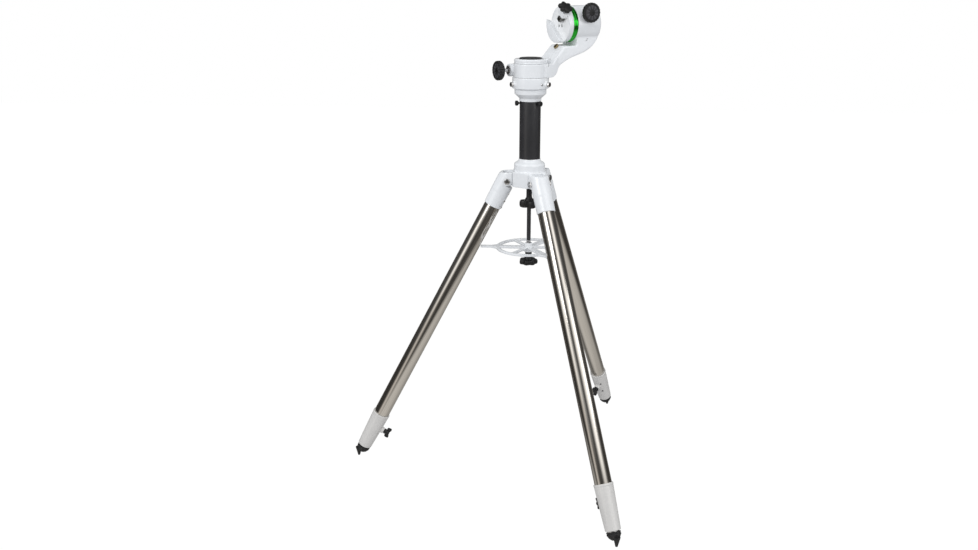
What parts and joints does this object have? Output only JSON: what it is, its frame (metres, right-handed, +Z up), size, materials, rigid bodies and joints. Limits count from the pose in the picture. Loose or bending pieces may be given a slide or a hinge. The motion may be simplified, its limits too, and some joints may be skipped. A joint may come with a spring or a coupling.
{
  "type": "alt azimuth mount",
  "caption": "Single-arm alt azimuth telescope mount with slow-motion controls, a dovetail saddle, an extension pillar and a folding steel tripod.",
  "frame": {"origin": "ground point in the middle of the footprint's bounding rectangle; the azimuth axis is the vertical line at x = 0.12196 m, y = 0", "axes": "+Z up; leg 1 points along -X, legs 2 and 3 at 60 degrees either side of +X"},
  "size_m": [0.7582, 0.8706, 1.293],
  "materials": {
    "white_paint": "gloss cool-white paint",
    "grey_casting": "satin light-grey paint",
    "black_paint": "satin black paint",
    "black_plastic": "textured black plastic",
    "black_rubber": "matt black rubber",
    "polished_stainless": "polished stainless steel",
    "bright_steel": "bright machined steel",
    "bronze": "machined bronze",
    "green_anodised": "green anodised"
  },
  "bodies": {
    "tripod_head_base": {"tripod_hub": "white_paint", "extension_pillar": "black_paint", "azimuth_base": "white_paint", "azimuth_base_bolt_1": "bright_steel", "azimuth_base_bolt_2": "bright_steel", "azimuth_base_bolt_3": "bright_steel", "azimuth_spindle": "bright_steel", "azimuth_worm_wheel": "bronze", "azimuth_spindle_nut": "bright_steel", "leg_1_hinge_bolt": "bright_steel", "leg_1_hinge_nut": "bright_steel", "leg_2_hinge_bolt": "bright_steel", "leg_2_hinge_nut": "bright_steel", "leg_3_hinge_bolt": "bright_steel", "leg_3_hinge_nut": "bright_steel"},
    "arm": {"arm": "white_paint", "altitude_stop_bolt": "bronze", "azimuth_cap": "white_paint", "azimuth_cap_plate": "black_plastic", "altitude_back_cover": "white_paint"},
    "azimuth_control": {"azimuth_worm": "bright_steel", "azimuth_slow_motion_knob": "black_plastic"},
    "altitude_control": {"altitude_worm": "bright_steel", "altitude_slow_motion_knob": "black_plastic"},
    "saddle_head": {"saddle": "white_paint", "saddle_screw_1": "bright_steel", "saddle_screw_2": "bright_steel", "saddle_screw_3": "bright_steel", "altitude_clutch_ring": "green_anodised", "altitude_spindle": "bright_steel", "altitude_worm_wheel": "bronze", "altitude_spindle_nut": "bright_steel"},
    "clamp_jaw": {"dovetail_movable_jaw": "bright_steel"},
    "clamp_handle": {"clamp_screw": "bright_steel", "clamp_knob": "black_plastic"},
    "leg_1": {"leg_1_upper_bracket": "white_paint", "leg_1_outer_tube": "polished_stainless", "leg_1_lower_bracket": "grey_casting"},
    "leg_1_extension": {"leg_1_inner_tube": "bright_steel", "leg_1_foot": "black_rubber"},
    "leg_1_lock": {"leg_1_lock_knob": "black_plastic"},
    "leg_2": {"leg_2_upper_bracket": "white_paint", "leg_2_outer_tube": "polished_stainless", "leg_2_lower_bracket": "grey_casting"},
    "leg_2_extension": {"leg_2_inner_tube": "bright_steel", "leg_2_foot": "black_rubber"},
    "leg_2_lock": {"leg_2_lock_knob": "black_plastic"},
    "leg_3": {"leg_3_upper_bracket": "white_paint", "leg_3_outer_tube": "polished_stainless", "leg_3_lower_bracket": "grey_casting"},
    "leg_3_extension": {"leg_3_inner_tube": "bright_steel", "leg_3_foot": "black_rubber"},
    "leg_3_lock": {"leg_3_lock_knob": "black_plastic"},
    "retaining_screw": {"retaining_rod": "black_paint", "retaining_knob": "black_plastic"},
    "spreader": {"spreader": "white_paint"},
    "spreader_nut": {"spreader_knob": "black_plastic"},
    "thumbscrew_1": {"pillar_thumbscrew_1": "black_plastic"},
    "thumbscrew_2": {"pillar_thumbscrew_2": "black_plastic"},
    "thumbscrew_3": {"pillar_thumbscrew_3": "black_plastic"}
  },
  "joints": [
    {"name": "azimuth_turn", "type": "hinge", "parent": "tripod_head_base", "child": "arm", "pos_m": [0.12196, 0, 1.119], "axis": [0, 0, 1], "continuous": true},
    {"name": "azimuth_knob_turn", "type": "hinge", "parent": "arm", "child": "azimuth_control", "pos_m": [0.10315, 0.02952, 1.119], "axis": [-0.8434, -0.5373, 0], "continuous": true},
    {"name": "altitude_turn", "type": "hinge", "parent": "arm", "child": "saddle_head", "pos_m": [0.19533, 0.04675, 1.2325], "axis": [-0.8434, -0.5373, 0], "range_deg": [-51, 59]},
    {"name": "altitude_knob_turn", "type": "hinge", "parent": "arm", "child": "altitude_control", "pos_m": [0.24341, 0.07737, 1.2625], "axis": [0.5373, -0.8434, 0], "range_deg": [-2400, 2400]},
    {"name": "clamp_jaw_slide", "type": "slide", "parent": "saddle_head", "child": "clamp_jaw", "axis": [0.3381, -0.5308, 0.7771], "range_m": [-0.004, 0.006]},
    {"name": "clamp_knob_turn", "type": "hinge", "parent": "clamp_jaw", "child": "clamp_handle", "pos_m": [0.20549, 0.01591, 1.27136], "axis": [0.3381, -0.5308, 0.7771], "range_deg": [-1160, 1736]},
    {"name": "leg_1_fold", "type": "hinge", "parent": "tripod_head_base", "child": "leg_1", "pos_m": [0.06446, 0, 0.832], "axis": [0, -1, 0], "range_deg": [0, 21]},
    {"name": "leg_1_extend", "type": "slide", "parent": "leg_1", "child": "leg_1_extension", "axis": [-0.4596, 0, -0.8881], "range_m": [0, 0.4]},
    {"name": "leg_1_lock_turn", "type": "hinge", "parent": "leg_1", "child": "leg_1_lock", "pos_m": [-0.29394, 0, 0.08059], "axis": [0.8881, 0, -0.4596], "range_deg": [0, 1080]},
    {"name": "leg_2_fold", "type": "hinge", "parent": "tripod_head_base", "child": "leg_2", "pos_m": [0.15071, -0.0498, 0.832], "axis": [0.866, 0.5, 0], "range_deg": [0, 21]},
    {"name": "leg_2_extend", "type": "slide", "parent": "leg_2", "child": "leg_2_extension", "axis": [0.2298, -0.398, -0.8882], "range_m": [0, 0.4]},
    {"name": "leg_2_lock_turn", "type": "hinge", "parent": "leg_2", "child": "leg_2_lock", "pos_m": [0.32991, -0.36018, 0.08059], "axis": [-0.4441, 0.7692, -0.4596], "range_deg": [0, 1080]},
    {"name": "leg_3_fold", "type": "hinge", "parent": "tripod_head_base", "child": "leg_3", "pos_m": [0.15071, 0.0498, 0.832], "axis": [-0.866, 0.5, 0], "range_deg": [0, 21]},
    {"name": "leg_3_extend", "type": "slide", "parent": "leg_3", "child": "leg_3_extension", "axis": [0.2298, 0.398, -0.8882], "range_m": [0, 0.4]},
    {"name": "leg_3_lock_turn", "type": "hinge", "parent": "leg_3", "child": "leg_3_lock", "pos_m": [0.32991, 0.36018, 0.08059], "axis": [-0.4441, -0.7692, -0.4596], "range_deg": [0, 1080]},
    {"name": "retaining_knob_turn", "type": "hinge", "parent": "tripod_head_base", "child": "retaining_screw", "pos_m": [0.12196, 0, 0.768], "axis": [0, 0, -1], "range_deg": [0, 3600]},
    {"name": "spreader_drop", "type": "slide", "parent": "tripod_head_base", "child": "spreader", "axis": [0, 0, -1], "range_m": [0, 0.74]},
    {"name": "spreader_knob_turn", "type": "hinge", "parent": "spreader", "child": "spreader_nut", "pos_m": [0.12196, 0, 0.607], "axis": [0, 0, -1], "range_deg": [0, 3600]},
    {"name": "thumbscrew_1_turn", "type": "hinge", "parent": "tripod_head_base", "child": "thumbscrew_1", "pos_m": [0.14629, -0.02229, 1.0364], "axis": [0.7373, -0.6756, 0], "range_deg": [0, 1080]},
    {"name": "thumbscrew_2_turn", "type": "hinge", "parent": "tripod_head_base", "child": "thumbscrew_2", "pos_m": [0.1291, 0.03222, 1.0364], "axis": [0.2164, 0.9763, 0], "range_deg": [0, 1080]},
    {"name": "thumbscrew_3_turn", "type": "hinge", "parent": "tripod_head_base", "child": "thumbscrew_3", "pos_m": [0.09048, -0.00992, 1.0364], "axis": [-0.9537, -0.3007, 0], "range_deg": [0, 1080]}
  ],
  "couplings": [
    {"joint": "azimuth_knob_turn", "follows": "azimuth_turn", "ratio": -40},
    {"joint": "altitude_knob_turn", "follows": "altitude_turn", "ratio": 40},
    {"joint": "clamp_knob_turn", "follows": "clamp_jaw_slide", "rad_per_m": 5026.5},
    {"joint": "leg_2_fold", "follows": "leg_1_fold", "ratio": 1},
    {"joint": "leg_3_fold", "follows": "leg_1_fold", "ratio": 1},
    {"joint": "spreader_drop", "follows": "leg_1_fold", "m_per_rad": 2}
  ]
}
